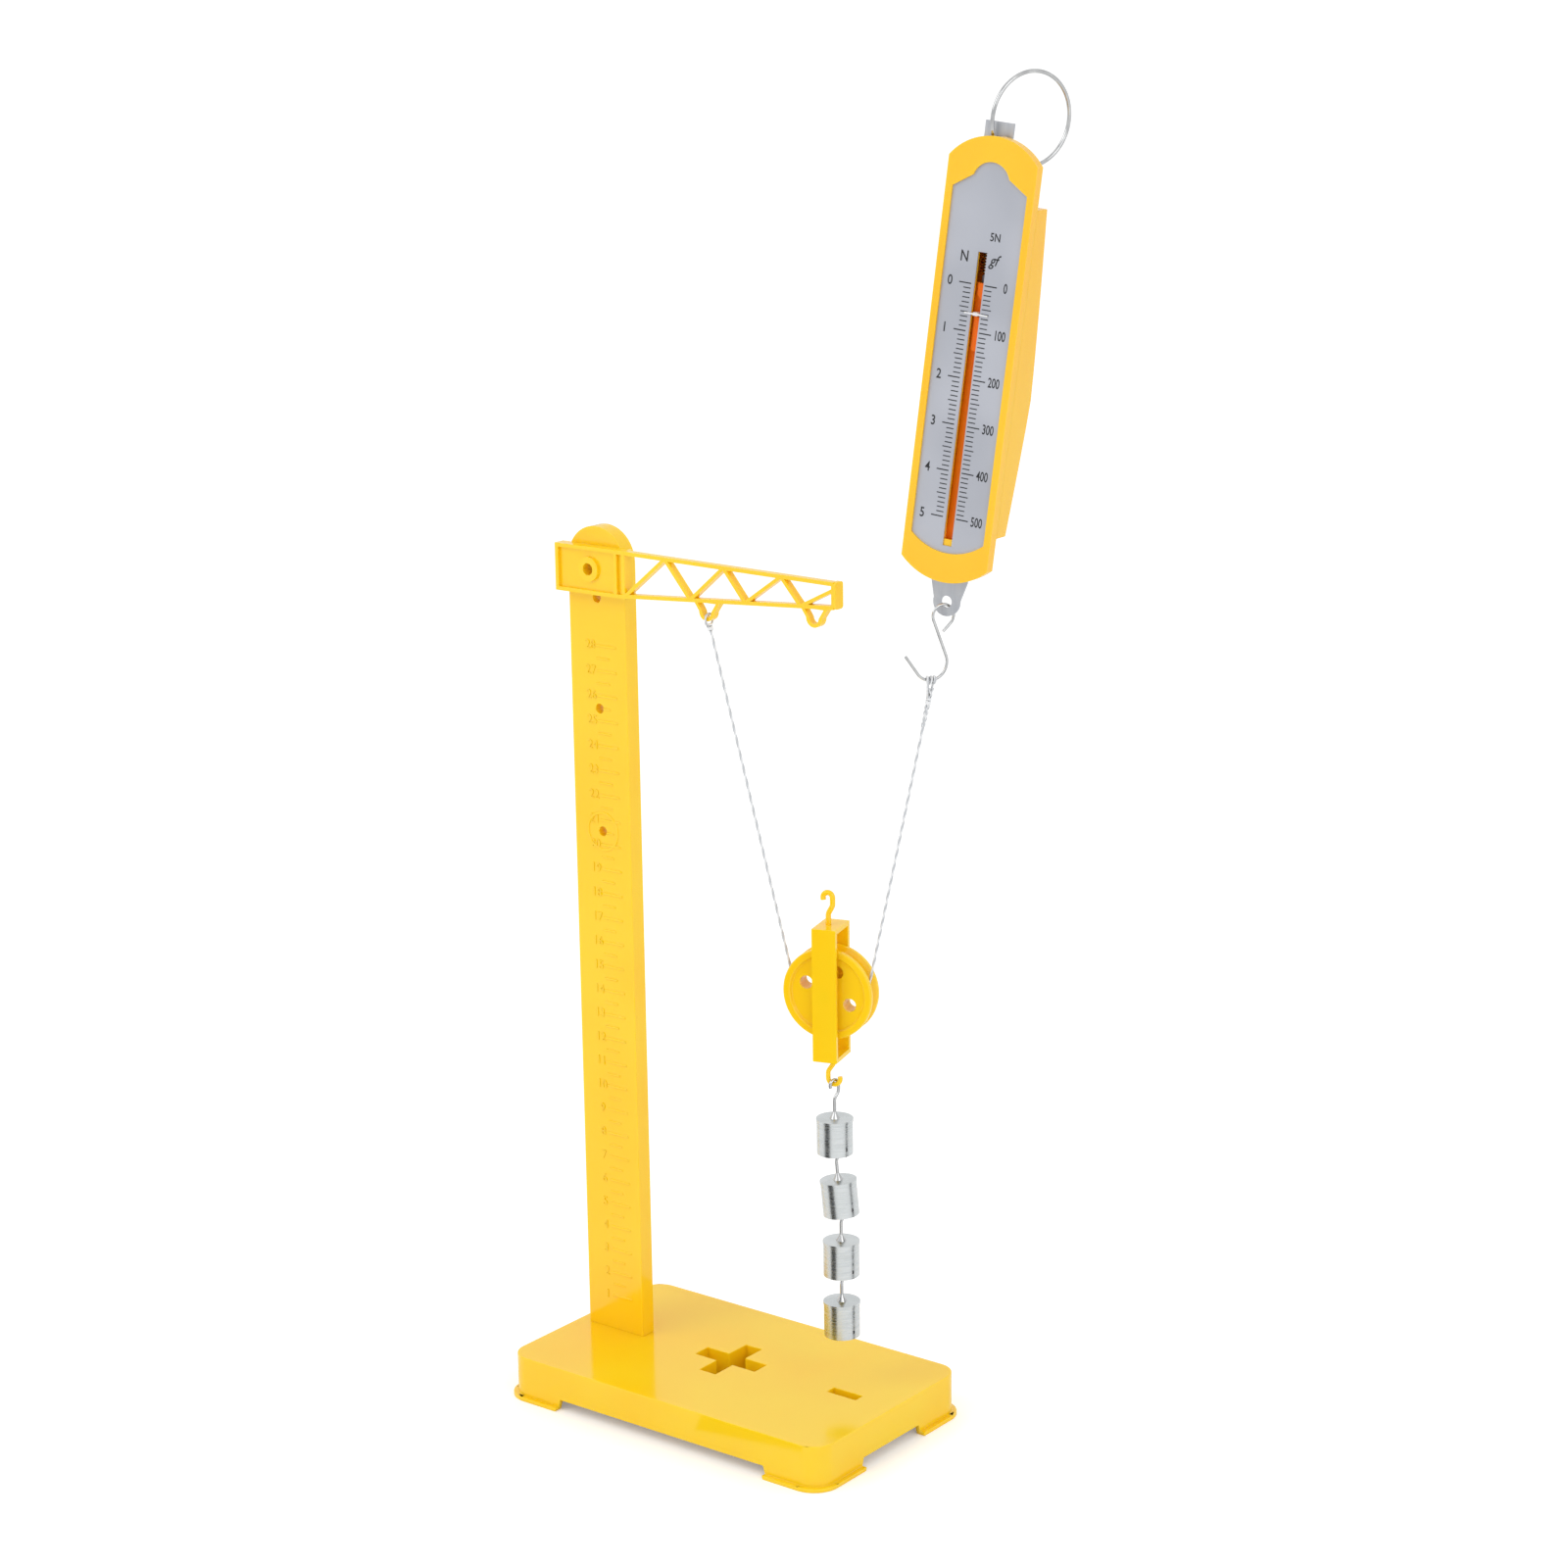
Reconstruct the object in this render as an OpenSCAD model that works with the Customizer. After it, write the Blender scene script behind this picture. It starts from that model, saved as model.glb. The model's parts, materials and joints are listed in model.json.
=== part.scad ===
// Pulley demonstrator: a stand with a truss jib, a moving pulley in a loop of
// string, four hooked weights below it and a bar-shaped spring balance that
// pulls the free end. Origin: centre of the base's footprint, on the table.
// +X runs from the column to the free end of the base, +Z is up.

/* [Base] */
// Length of the base plate
base_l = 156; // [140:1:180]
// Width of the base plate
base_w = 93; // [80:1:110]
// Height of the base, feet included
base_h = 18; // [14:1:24]
// Height of the feet, the clear gap below the skirt
foot_h = 4.5; // [3:0.5:6]
// Corner radius of the base
base_r = 9; // [6:1:14]
// How far the lip at the bottom of the feet stands out
foot_lip = 2; // [1:0.5:3]

/* [Column] */
// Height of the stand, from the table to the top of the rounded head
stand_h = 349.5; // [330:0.5:380]
// Width of the column
column_w = 28; // [24:1:34]
// Thickness of the column, front to back
column_t = 7; // [6:0.5:9]
// Middle of the column, towards the left end of the base
column_x = -58.4; // [-62:0.2:-50]
// Front face of the column
column_front = -2.5; // [-4:0.5:0]

/* [Jib] */
// Reach of the jib, from the hub pin to its tip
jib_reach = 118.7; // [115:0.1:130]
// Height of the hub box
jib_box_h = 18.6; // [16:0.2:20]
// Height of the jib at its tip
jib_tip_h = 10.2; // [9:0.1:12]
// Thickness of the hub box and of the end plate
jib_t = 5; // [4:0.5:6]

/* [Pulley] */
// Outer diameter of the sheave
sheave_d = 36; // [32:1:40]
// Height of the pulley frame, without its hooks
yoke_h = 52.8; // [50:0.2:58]
// Width of the frame's two straps
yoke_w = 9.7; // [8:0.1:11]
// Depth of the frame, along the axle
yoke_d = 15.4; // [15:0.1:18]
// Height of the axle above the table
pulley_z = 179; // [178:1:184]

/* [Weights] */
// Diameter of a weight
weight_d = 14; // [13:0.1:16]
// Height of a weight's body
weight_h = 14; // [13:0.1:15]
// Lean of the second weight, which sits crooked on its hook
weight_lean = 5; // [0:1:6]

/* [Spring balance] */
// Width of the balance's case
case_w = 35; // [32:0.5:38]
// Travel of the pointer for one newton
newton_mm = 17; // [15:0.1:18]
// Reading at rest, in newtons
reading = 0.62; // [0.2:0.01:1]

/* [String] */
// Diameter of the string
string_d = 1.2; // [0.8:0.1:1.5]

/* [Hidden] */
$fn = 48;
eps = 0.01;
lap = 0.1;
lap_r = 0.015;

// Base
wall = 2;
deck_t = 2.5;
lip_t = 1.6;
foot_x = 27;
foot_y = 28.5;
foot_slope = 1.5;
plus_l = 30;
plus_w = 8;
socket_depth = 11;
socket_wall = 1.6;
plus_x = -1.7;
minus_l = 13.8;
minus_w = 4.7;
minus_x = 54.8;
tenon_w = 23;
tenon_t = 4.4;
tenon_h = 11;

// Column
head_r = column_w / 2;
head_z = stand_h - head_r;
hub_z = head_z - 2.1;
rib_pitch = 25;
rib_t = 1.4;
hole_r = 2;
boss_r = 4;
hole_heights = [228, 277.5, 321.5];
ring_mark_z = hole_heights[0];
ruler_zero = base_h + 14.6;
ruler_step = 10;
ruler_marks = 27;
ruler_left = column_x - 1;
long_mark = 10;
short_mark = 6.5;
mark_t = 0.35;

// Jib
jib_front = column_front - jib_t;
jib_left = column_x - 16.4;
jib_right = column_x + jib_reach;
jib_box_w = 34.9;
jib_top = hub_z + jib_box_h / 2 - 0.4;
box_low = jib_top - jib_box_h;
truss_left = jib_left + jib_box_w;
tip_fall = 1.1;
tip_t = 1.8;
tip_r = 1.2;
truss_t = 3;
chord_t = 1.5;
brace_t = 1.4;
foot_steps = [0, 31.9, 58.2, 84.1];
peak_steps = [19.8, 48.1, 75.2];
last_peak_drop = 2.2;
rib_w = 1.5;
hub_bore_r = 2.4;
hub_boss_r = 4.8;
spigot_r = 3.9;
eye_x = [0, 50.5];
eye_top_w = 11;
eye_drop = 5.6;
eye_r = 2.2;
eye_bar = 1.4;

// String plane: it hangs from the first eye and turns away from the column
plane_angle = 16;
truss_y = jib_front + truss_t / 2;
string_spread = 47.5;
hook_spread = 88.1;
hook_z = 303.2;
pulley_at = [string_spread * cos(plane_angle), truss_y + string_spread * sin(plane_angle), pulley_z];

// Sheave
groove_r = 13.6;
groove_w = 1.8;
rim_t = 9.2;
web_t = 7.2;
hub_r = 3.1;
axle_r = 1;
axle_gap = 0.05;
strap_t = 1.8;
lightening_r = 2.6;
lightening_at = 9.5;
moulded_r = 1.05;
moulded_low_r = 0.92;

// Hooks of the frame: sideways steps of the moulded wire
top_step = 1.75;
top_bend = 3;
top_turn = 30;
low_step = 2.4;
low_bend = 2.6;
low_turn = 35;
low_loop = 2.45;
low_first = 1.6;
low_last = 1.85;
low_x = 0.85;
low_bottom = yoke_h / 2 + low_first + s_height(low_step, low_bend, low_turn) + low_last + low_loop;
weight_x = low_x - low_step + low_loop;

// Weights
wire_r = 0.65;
ring_r = 2.05;
hang_gap = 0.25;
drop = 13.4;
hook_step = ring_r;
hook_bend = 3;
hook_turn = 40;
hook_plane = 60;
flare_h = 2.6;
flare_r = 2;
rim_h = 1;
rim_out = 0.2;
recess_r = 3.6;
recess_h = 5.6;
pin_r = 0.8;
pin_up = 0.45;
pitch = 25;
first_ring = [weight_x, 0, -low_bottom + moulded_low_r + hang_gap + wire_r - ring_r];

// Spring balance, in its own frame: origin at the drawbar's hole, z up the case
steel_r = 0.55;
hook_angle = 60;
loop_r = 4.2;
loop_mid = [-1.4, -5.2];
loop_turn = 246;
loop_end = 4.3;
shank_lean = 20;
mouth_r = 6.5;
mouth_turn = 165;
mouth_end = 8.5;
mouth_bottom = -28.9;
shank = (loop_mid[1] - mouth_bottom - mouth_r - (loop_r + mouth_r) * sin(shank_lean)) / cos(shank_lean);
mouth_x = loop_mid[0] - (loop_r + mouth_r) * cos(shank_lean) + shank * sin(shank_lean);
hook_at = [hook_spread * cos(plane_angle), truss_y + hook_spread * sin(plane_angle), hook_z];
balance_at = hook_at - [mouth_x * cos(hook_angle), mouth_x * sin(hook_angle), mouth_bottom];
balance_turn = [-2.4, 6.6, 8.2];

face_y = -6.6;
thin_y = -2;
plate_y = -5.8;
plate_t = 0.5;
case_bottom = 8.2;
case_top = 169.6;
low_shoulder = 15.2;
high_shoulder = 161;
cover_bottom = 27;
cover_top = 146;
cover_wall = 1.6;
belly_z = 76;
belly_y = 13;
cover_top_y = 6.2;
cover_low_y = 5.7;
plate_half = 14.8;
plate_low = 24.5;
plate_bottom = 19;
plate_high = 150.4;
arch_r = 7.5;
arch_z = 153;
notch_x = 6;
notch_z = 156;
slot_w = 3.6;
slot_bottom = 21.6;
slot_top = 128.6;
zero_z = 117;
pointer_z = zero_z - reading * newton_mm;
shell_slot_bottom = 24;
bar_half = 2.4;
bar_front = -2.7;
bar_back = -1.5;
bar_low = 14.5;
bar_high = 117.5;
block_front = -3.9;
block_left = -1.1;
block_low = 93;
block_gap_low = 105.4;
block_gap_high = 111.8;
block_r = 0.9;
pad_half = 1.2;
groove_half = bar_half + 0.3;
neck_w = 3;
neck_top = 120;
bar_t = 1;
tab_w = 14.7;
tab_top = 14;
tab_r = 5.4;
hole_tab_r = 2.2;
top_tab_w = 11.2;
top_tab_x = -2;
top_tab_high = 174.3;
top_tab_low = 136;
top_step_z = 150;
anchor_w = 4;
spring_wire = 0.5;
spring_coil_r = 3.2;
spring_low = neck_top + 0.6;
spring_high = 135.4;
spring_turns = 14;
spring_y = 0.9;
ring_big_r = 16.9;
ring_wire_r = 0.75;
ring_hole_r = 2.6;
ring_hole = [-2, 0, 165.2];
ring_plane = 61.8;
ring_place = 219;
screw_r = 1.2;
screw_head_r = 2.2;
screw_places = [[-10.5, 35], [10.5, 35], [-10.5, 139], [10.5, 139]];

yellow = "gold";
steel = "silver";
white = "white";

function s_run(step, bend, turn) = (step - 2 * bend * (1 - cos(turn))) / sin(turn);
function s_height(step, bend, turn) = 2 * bend * sin(turn) + s_run(step, bend, turn) * cos(turn);
function unit(v) = v / norm(v);
function tangent(path, i) = unit(path[min(i + 1, len(path) - 1)] - path[max(i - 1, 0)]);

// ---- shared forms ----

// A rectangle with round corners, centred
module rounded_rect(l, w, r) {
    square([l - 2 * r, w], center = true);
    square([l, w - 2 * r], center = true);
    for (x = [-1, 1], y = [-1, 1])
        translate([x * (l / 2 - r), y * (w / 2 - r)]) circle(r);
}

// One bend of a round wire: it starts at the origin along +z and turns towards +x
module wire_bend(r, bend, turn) {
    mirror([turn < 0 ? 1 : 0, 0, 0])
        translate([bend, 0, 0])
        rotate([90, 0, 180])
        rotate_extrude(angle = abs(turn))
        translate([bend, 0])
        circle(r);
}

// A wire bent in the XZ plane; each step is [straight length, bend radius, turn].
// The straights are a hair thicker and lap into the bends, so that the wire is one solid
module bent_wire(r, steps, i = 0) {
    if (i < len(steps)) {
        run = steps[i][0];
        bend = steps[i][1];
        turn = steps[i][2];
        side = turn < 0 ? -bend : bend;
        lap_in = i > 0 ? lap : 0;
        lap_out = turn == 0 ? 0 : lap;
        translate([0, 0, -lap_in]) cylinder(r = r + lap_r, h = run + lap_in + lap_out);
        translate([0, 0, run]) {
            if (turn != 0) wire_bend(r, bend, turn);
            translate([side, 0, 0])
                rotate([0, turn, 0])
                translate([-side, 0, 0])
                bent_wire(r, steps, i + 1);
        }
    }
}

// A tube swept along points; side is any direction that the path never follows
module tube(path, r, sides, side) {
    last = len(path) - 1;
    rings = [
        for (i = [0:last])
            let (t = tangent(path, i), a = unit(cross(t, side)), b = cross(t, a))
                for (k = [0:sides - 1])
                    path[i] + r * (cos(360 * k / sides) * a + sin(360 * k / sides) * b)
    ];
    walls = [
        for (i = [0:last - 1], k = [0:sides - 1])
            let (n = (k + 1) % sides, p = i * sides, q = p + sides)
                each [[p + k, q + k, q + n], [p + k, q + n, p + n]]
    ];
    caps = [
        for (k = [1:sides - 2])
            each [[0, k, k + 1], [last * sides, last * sides + k + 1, last * sides + k]]
    ];
    polyhedron(rings, concat(walls, caps));
}

// ---- stand ----

module foot_gaps() {
    gap_x = base_l / 2 - foot_x;
    gap_y = base_w / 2 - foot_y;
    rotate([90, 0, 0])
        linear_extrude(2 * base_w, center = true)
        foot_gap_outline(gap_x);
    rotate([90, 0, 90])
        linear_extrude(2 * base_l, center = true)
        foot_gap_outline(gap_y);
}

module foot_gap_outline(half) {
    polygon([
        [-half - foot_slope, -1],
        [half + foot_slope, -1],
        [half, foot_h],
        [-half, foot_h]
    ]);
}

module plus_outline(l, w) {
    square([l, w], center = true);
    square([w, l], center = true);
}

module deck_sockets(grow, depth) {
    translate([0, column_front + column_t / 2, base_h - depth])
        linear_extrude(depth) {
            translate([plus_x, 0]) plus_outline(plus_l + grow, plus_w + grow);
            translate([minus_x, 0]) square([minus_l + grow, minus_w + grow], center = true);
            translate([column_x, 0]) square([tenon_w + grow, tenon_t + grow], center = true);
        }
}

module base() color(yellow) {
    difference() {
        union() {
            linear_extrude(base_h) rounded_rect(base_l, base_w, base_r);
            linear_extrude(lip_t)
                rounded_rect(base_l + 2 * foot_lip, base_w + 2 * foot_lip, base_r + foot_lip);
        }
        translate([0, 0, -1])
            linear_extrude(base_h - deck_t + 1)
            rounded_rect(base_l - 2 * wall, base_w - 2 * wall, base_r - wall);
        foot_gaps();
        deck_sockets(0, base_h);
    }
    difference() {
        deck_sockets(2 * socket_wall, socket_depth);
        deck_sockets(0, base_h);
        translate([0, 0, base_h - deck_t / 2]) linear_extrude(base_h) square([base_l, base_w], center = true);
    }
}

module column_outline(inset) {
    w = column_w - 2 * inset;
    translate([column_x - w / 2, base_h + inset]) square([w, head_z - base_h - inset]);
    translate([column_x, head_z]) circle(head_r - inset);
}

// Turns a drawing in x and z into a slab that reaches from y to y + t
module slab(y, t) {
    translate([0, y + t, 0]) rotate([90, 0, 0]) linear_extrude(t) children();
}

module ruler() {
    for (k = [0:ruler_marks])
        translate([ruler_left, column_front - mark_t, ruler_zero + ruler_step * k - 0.4])
            cube([long_mark, mark_t + eps, 0.8]);
    for (k = [0:ruler_marks - 1])
        translate([ruler_left, column_front - mark_t, ruler_zero + ruler_step * (k + 0.5) - 0.3])
            cube([short_mark, mark_t + eps, 0.6]);
}

module column() color(yellow) {
    difference() {
        union() {
            difference() {
                slab(column_front, column_t) column_outline(0);
                slab(column_front + wall, column_t) column_outline(wall);
            }
            intersection() {
                slab(column_front, column_t) column_outline(0);
                column_ribs();
            }
            translate([column_x - tenon_w / 2, column_front + (column_t - tenon_t) / 2, base_h - tenon_h])
                cube([tenon_w, tenon_t, tenon_h + wall]);
            ruler();
            slab(column_front - mark_t, mark_t + eps) difference() {
                translate([column_x, ring_mark_z]) circle(8);
                translate([column_x, ring_mark_z]) circle(7);
            }
        }
        for (z = hole_heights)
            translate([column_x, column_front - 1, z]) rotate([-90, 0, 0]) cylinder(r = hole_r, h = column_t + 2);
        translate([column_x, column_front - 1, hub_z])
            rotate([-90, 0, 0]) cylinder(r = spigot_r, h = column_t + 2);
    }
}

// Cross ribs and bosses on the open back of the column
module column_ribs() {
    for (z = [base_h + rib_pitch:rib_pitch:hub_z - rib_pitch])
        translate([column_x - column_w / 2, column_front, z - rib_t / 2]) cube([column_w, column_t, rib_t]);
    for (z = hole_heights)
        translate([column_x, column_front, z]) rotate([-90, 0, 0]) cylinder(r = boss_r, h = column_t);
    translate([column_x, column_front, hub_z]) rotate([-90, 0, 0]) cylinder(r = spigot_r + wall, h = column_t);
}

// ---- jib ----

// The upper edge of the top chord and the lower edge of the low chord
function chord_share(x) = (x - truss_left) / (jib_right - truss_left);
function chord_high(x) = jib_top - tip_fall * chord_share(x);
function chord_low(x) = box_low + 0.4 + (jib_top - tip_fall - jib_tip_h - box_low - 0.4) * chord_share(x);
function high_point(x) = [x, chord_high(x) - chord_t / 2];
function low_point(x) = [x, chord_low(x) + chord_t / 2];

// A straight bar of the truss between two points of the drawing
module brace(a, b, t) {
    d = b - a;
    translate(a) rotate(atan2(d[1], d[0])) translate([0, -t / 2]) square([norm(d), t]);
}

module truss_outline() {
    root = truss_left - rib_w;
    tip = jib_right - tip_t / 2;
    brace(high_point(root), high_point(tip), chord_t);
    brace(low_point(root), low_point(tip), chord_t);
    for (k = [0:len(peak_steps) - 1]) {
        peak = high_point(truss_left + peak_steps[k]);
        brace(low_point(truss_left + foot_steps[k]), peak, brace_t);
        brace(peak, low_point(truss_left + foot_steps[k + 1]), brace_t);
    }
    brace(low_point(truss_left + foot_steps[3]), high_point(tip) - [0, last_peak_drop], brace_t);
}

// The eye below the chord that the string is tied to
module eye_outline(x) {
    top = chord_low(x) + chord_t / 2;
    low = chord_low(x) - eye_drop + eye_r;
    translate([x, 0]) difference() {
        union() {
            polygon([[-eye_top_w / 2 - 1, top], [eye_top_w / 2 + 1, top], [eye_r + eye_bar, low], [-eye_r - eye_bar, low]]);
            translate([0, low]) circle(eye_r + eye_bar);
        }
        polygon([
            [-eye_top_w / 2 + 1, top - chord_t / 2],
            [eye_top_w / 2 - 1, top - chord_t / 2],
            [eye_r, low],
            [-eye_r, low]
        ]);
        translate([0, low]) circle(eye_r);
    }
}

module jib() color(yellow) {
    hub = [column_x, jib_front, hub_z];
    difference() {
        union() {
            difference() {
                translate([jib_left, jib_front, box_low]) cube([jib_box_w, jib_t, jib_box_h]);
                translate([jib_left + rib_w, jib_front - 1, box_low + rib_w])
                    cube([jib_box_w - 2 * rib_w - 4, 2.2, jib_box_h - 2 * rib_w]);
                translate([jib_left + jib_box_w - 4, jib_front - 1, box_low + rib_w])
                    cube([4 - rib_w, 2.2, jib_box_h - 2 * rib_w]);
            }
            translate(hub) rotate([-90, 0, 0]) cylinder(r = hub_boss_r, h = jib_t);
            translate(hub) rotate([-90, 0, 0]) cylinder(r = spigot_r, h = jib_t + column_t);
            slab(jib_front, truss_t) {
                truss_outline();
                for (x = eye_x) eye_outline(x);
            }
            translate([jib_right - tip_t, jib_front + jib_t / 2, jib_top - tip_fall - jib_tip_h / 2])
                rotate([90, 0, 90])
                linear_extrude(tip_t)
                rounded_rect(jib_t, jib_tip_h, tip_r);
        }
        translate(hub - [0, 1, 0]) rotate([-90, 0, 0]) cylinder(r = hub_bore_r, h = jib_t + column_t + 2);
    }
}

// ---- pulley ----

module at_pulley() {
    translate(pulley_at) rotate([0, 0, plane_angle]) children();
}

module sheave() color(yellow) at_pulley() rotate([90, 0, 0])
    difference() {
        rotate_extrude() polygon([
            [axle_r + axle_gap, -yoke_d / 2 + strap_t + 0.2],
            [hub_r, -yoke_d / 2 + strap_t + 0.2],
            [hub_r, -web_t / 2],
            [sheave_d / 2 - 3.4, -web_t / 2],
            [sheave_d / 2 - 2.6, -rim_t / 2],
            [sheave_d / 2 - 0.4, -rim_t / 2],
            [sheave_d / 2, -rim_t / 2 + 0.4],
            [sheave_d / 2, -rim_t / 2 + 1.9],
            [groove_r, -groove_w / 2],
            [groove_r, groove_w / 2],
            [sheave_d / 2, rim_t / 2 - 1.9],
            [sheave_d / 2, rim_t / 2 - 0.4],
            [sheave_d / 2 - 0.4, rim_t / 2],
            [sheave_d / 2 - 2.6, rim_t / 2],
            [sheave_d / 2 - 3.4, web_t / 2],
            [hub_r, web_t / 2],
            [hub_r, yoke_d / 2 - strap_t - 0.2],
            [axle_r + axle_gap, yoke_d / 2 - strap_t - 0.2]
        ]);
        for (a = [67:90:337])
            rotate([0, 0, a]) translate([lightening_at, 0, -yoke_d / 2]) cylinder(r = lightening_r, h = yoke_d);
    }

module pulley_yoke() color(yellow) at_pulley() {
    difference() {
        translate([-yoke_w / 2, -yoke_d / 2, -yoke_h / 2]) cube([yoke_w, yoke_d, yoke_h]);
        translate([-yoke_w, -yoke_d / 2 + strap_t, -yoke_h / 2 + strap_t])
            cube([2 * yoke_w, yoke_d - 2 * strap_t, yoke_h - 2 * strap_t]);
        translate([0, -yoke_d / 2 + strap_t - 1.1, 0])
            rotate([-90, 0, 0]) cylinder(r = axle_r, h = yoke_d - 2 * strap_t + 2.2);
    }
    translate([-0.8, 0, yoke_h / 2 - 1])
        bent_wire(moulded_r, [
            [4.6, top_bend, top_turn],
            [s_run(top_step, top_bend, top_turn), top_bend, -top_turn],
            [2.4, 1.9, -185],
            [0.8, 0, 0]
        ]);
    translate([low_x, 0, 1 - yoke_h / 2]) rotate([180, 0, 0])
        bent_wire(moulded_low_r, [
            [low_first + 1, low_bend, -low_turn],
            [s_run(low_step, low_bend, low_turn), low_bend, low_turn],
            [low_last, low_loop, 185],
            [0.6, 0, 0]
        ]);
}

module pulley_axle() color(steel) at_pulley()
    translate([0, -yoke_d / 2 + strap_t - 1.1, 0])
    rotate([-90, 0, 0])
    cylinder(r = axle_r, h = yoke_d - 2 * strap_t + 2.2);

// ---- weights ----

// Places a weight by the middle of the loop of its hook; every weight hangs on
// the pin of the one above, and the second one leans
module at_weight(k) {
    lean_x = k > 2 ? pitch * sin(weight_lean) : 0;
    lean_z = k > 2 ? pitch * (1 - cos(weight_lean)) : 0;
    at_pulley()
        translate(first_ring + [lean_x, 0, lean_z - pitch * (k - 1)])
        rotate([0, k == 2 ? -weight_lean : 0, 0])
        rotate([0, 0, hook_plane])
        children();
}

module weight_body(k) color(steel) at_weight(k) translate([0, 0, -drop - weight_h])
    difference() {
        union() {
            cylinder(d = weight_d, h = weight_h);
            translate([0, 0, weight_h - rim_h]) cylinder(r = weight_d / 2 + rim_out, h = rim_h);
        }
        translate([0, 0, -1]) cylinder(r = recess_r, h = recess_h + 1);
        pin_hole = drop + weight_h - pitch + pin_up;
        translate([0, weight_d, pin_hole]) rotate([90, 0, 0]) cylinder(r = pin_r, h = 2 * weight_d);
    }

module weight_pin(k) color(steel) at_weight(k)
    translate([0, 0, -pitch + pin_up])
    intersection() {
        rotate([90, 0, 0]) cylinder(r = pin_r, h = weight_d, center = true);
        cylinder(r = weight_d / 2, h = 4 * pin_r, center = true);
    }

module weight_hook(k) color(steel) at_weight(k) {
    s_up = s_height(hook_step, hook_bend, hook_turn);
    translate([0, 0, -drop]) {
        bent_wire(wire_r, [
            [drop - s_up - 2, hook_bend, hook_turn],
            [s_run(hook_step, hook_bend, hook_turn), hook_bend, -hook_turn],
            [2, ring_r, -205]
        ]);
        cylinder(r1 = flare_r, r2 = wire_r, h = flare_h);
    }
}

// ---- string ----

wrap_r = groove_r + 0.1 + string_d / 2;
eye_low = chord_low(eye_x[0]) - eye_drop;
tie_knot = 2.6;
hook_knot = 15;
tie_top = [-string_spread, eye_low - eye_bar - 1.2 - pulley_z];
hook_top = [hook_spread - string_spread, hook_z - 3.2 - pulley_z];

// Where the string leaves the groove for a point p of its plane, seen from the axle
function leave(p, side) = atan2(p[1], p[0]) + side * acos(wrap_r / norm(p));
left_angle = leave(tie_top, 1);
right_angle = leave(hook_top, -1);
left_leave = wrap_r * [cos(left_angle), sin(left_angle)];
right_leave = wrap_r * [cos(right_angle), sin(right_angle)];
left_top = tie_top + tie_knot * unit(left_leave - tie_top);
right_top = hook_top + hook_knot * unit(right_leave - hook_top);
wrap_rings = 14;
leg_rings = 12;
function in_plane(p) = [p[0], 0, p[1]];

module leg(from, to) {
    path = [for (i = [0:leg_rings]) in_plane(from + (to - from) * i / leg_rings)];
    at_pulley() tube(path, string_d / 2, 8, [0, 1, 0]);
}

module string_left() color(white) leg(left_top, left_leave);

module string_right() color(white) leg(right_leave, right_top);

module string_wrap() color(white) {
    sweep = right_angle + 360 - left_angle;
    arc = [
        for (i = [0:wrap_rings])
            let (a = left_angle + 2 + (sweep - 4) * i / wrap_rings)
                in_plane(wrap_r * [cos(a), sin(a)])
    ];
    lead_in = left_leave + 0.2 * unit(left_leave - tie_top);
    lead_out = right_leave + 0.2 * unit(right_leave - hook_top);
    path = concat([in_plane(left_leave), in_plane(lead_in)], arc, [in_plane(lead_out), in_plane(right_leave)]);
    at_pulley() tube(path, string_d / 2, 8, [0, 1, 0]);
}

// A knot, or the doubled string below one, that runs from one point to another
module knot(from, to, r1, r2) at_pulley() {
    d = to - from;
    translate(in_plane(from))
        rotate([0, 90 - atan2(d[1], d[0]), 0])
        cylinder(r1 = r1, r2 = r2, h = norm(d));
}

// The bight of string round the bar of the eye, and its knot
module string_tie() color(white) {
    half = truss_t / 2 + string_d / 2 + 0.25;
    high = eye_low + string_d / 2 + 0.25;
    foot = eye_low - eye_bar - 2;
    path = [
        [0, -0.65, foot],
        [0, -0.8 * half, foot + 1.4],
        [0, -half, eye_low - eye_bar / 2],
        [0, -0.8 * half, high],
        [0, 0, high + 0.35],
        [0, 0.8 * half, high],
        [0, half, eye_low - eye_bar / 2],
        [0, 0.8 * half, foot + 1.4],
        [0, 0.65, foot]
    ];
    translate([eye_x[0], truss_y, 0]) tube(path, string_d / 2, 8, [1, 0, 0]);
    knot(tie_top, left_top, 1.35, 1.1);
}

// The bight round the steel hook, and the doubled string below it
module string_loop() color(white) {
    round_r = steel_r + string_d / 2 + 0.12;
    turns = [for (a = [-60:30:240]) [0, round_r * cos(a), round_r * sin(a)]];
    path = concat([[0, 0.66, -3.8]], turns, [[0, -0.66, -3.8]]);
    translate(hook_at) rotate([0, 0, hook_angle]) tube(path, string_d / 2, 8, [1, 0, 0]);
    knot(hook_top, right_top, 1.4, 0.9);
}

// ---- spring balance ----

module at_balance() {
    translate(balance_at) rotate(balance_turn) children();
}

module s_hook() color(steel)
    translate(balance_at) rotate([0, 0, hook_angle])
    translate([
        loop_mid[0] - loop_r * cos(shank_lean),
        0,
        loop_mid[1] - loop_r * sin(shank_lean)
    ]) {
        rotate([0, -shank_lean, 0])
            bent_wire(steel_r, [[lap, loop_r, loop_turn], [loop_end, 0, 0]]);
        rotate([0, 180 - shank_lean, 0])
            bent_wire(steel_r, [[shank, mouth_r, mouth_turn], [mouth_end, 0, 0]]);
    }

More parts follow.
